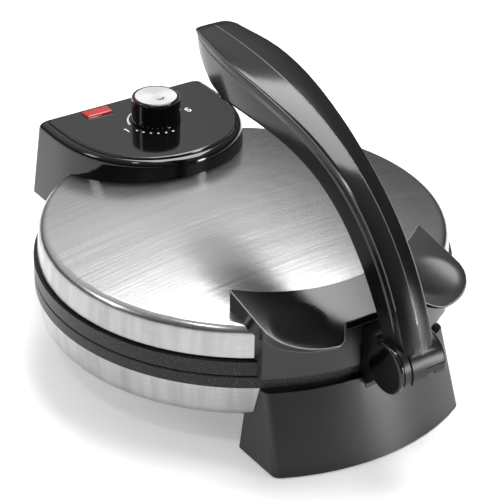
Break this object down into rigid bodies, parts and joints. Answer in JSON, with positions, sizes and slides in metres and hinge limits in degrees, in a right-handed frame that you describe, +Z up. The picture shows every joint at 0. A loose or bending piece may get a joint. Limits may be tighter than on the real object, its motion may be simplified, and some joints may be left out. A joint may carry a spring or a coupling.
{
  "type": "electric roti maker",
  "caption": "Countertop roti maker: round steel base and hinged steel lid with heated non-stick plates, control knob at the rear and an arched press lever at the front.",
  "frame": {"origin": "on the table, under the middle of the closed product's bounding box", "axes": "+Z up, -Y towards the user (lever side), +Y towards the hinge and controls, +X to the user's right"},
  "size_m": [0.2668, 0.339, 0.21],
  "materials": {
    "brushed_steel": "brushed stainless sheet",
    "coated_cast": "cast aluminium with a dark speckled non-stick coating",
    "element_steel": "dull heated tube",
    "bright_sheet": "plain reflector sheet",
    "zinc_steel": "zinc-plated steel",
    "matte_black": "fine-grained black moulding",
    "gloss_black": "polished black moulding",
    "satin_black": "satin black moulding",
    "black_rubber": "soft moulded rubber",
    "ceramic_white": "cream heat-proof moulding",
    "lamp_red": "translucent red lens",
    "silver_disc": "spun satin disc"
  },
  "bodies": {
    "base": {"lower_pan": "brushed_steel", "lower_plate": "coated_cast", "lower_element": "element_steel", "lower_shield": "bright_sheet", "plate_studs": "zinc_steel", "stud_nuts": "zinc_steel", "front_foot": "matte_black", "rear_foot": "matte_black", "foot_screws": "zinc_steel", "rubber_feet": "black_rubber", "press_bracket": "matte_black", "bracket_screws": "zinc_steel", "hinge_bracket": "zinc_steel", "hinge_screws": "zinc_steel", "hinge_pin": "zinc_steel", "pin_clip": "zinc_steel", "terminal_block": "ceramic_white", "cord_gland": "black_rubber"},
    "lid": {"lid_cover": "brushed_steel", "upper_plate": "coated_cast", "upper_element": "element_steel", "upper_shield": "bright_sheet", "cover_studs": "zinc_steel", "front_handle": "gloss_black", "handle_screws": "zinc_steel", "front_apron": "matte_black", "apron_screws": "zinc_steel", "housing_body": "gloss_black", "housing_panel": "gloss_black", "housing_screws": "zinc_steel", "panel_screws": "zinc_steel", "lamp_lens": "lamp_red", "lamp_holder": "ceramic_white", "thermostat": "ceramic_white", "thermostat_nut": "zinc_steel", "hinge_leaf": "zinc_steel", "leaf_screws": "zinc_steel"},
    "knob": {"knob": "gloss_black", "knob_cap": "silver_disc", "knob_shaft": "zinc_steel"},
    "lever": {"lever_left": "satin_black", "lever_right": "satin_black", "lever_cap": "gloss_black", "lever_pin": "zinc_steel", "lever_screws": "zinc_steel"}
  },
  "joints": [
    {"name": "lid_hinge", "type": "hinge", "parent": "base", "child": "lid", "pos_m": [0, 0.1574, 0.06], "axis": [-1, 0, 0], "range_deg": [0, 100]},
    {"name": "lever_pivot", "type": "hinge", "parent": "base", "child": "lever", "pos_m": [0, -0.1522, 0.0753], "axis": [1, 0, 0], "range_deg": [0, 112]},
    {"name": "knob_turn", "type": "hinge", "parent": "lid", "child": "knob", "pos_m": [0.003, 0.1234, 0.12], "axis": [0, 0, 1], "range_deg": [-90, 90]}
  ],
  "couplings": [
    {"joint": "lever_pivot", "follows": "lid_hinge", "ratio": 1.12}
  ]
}
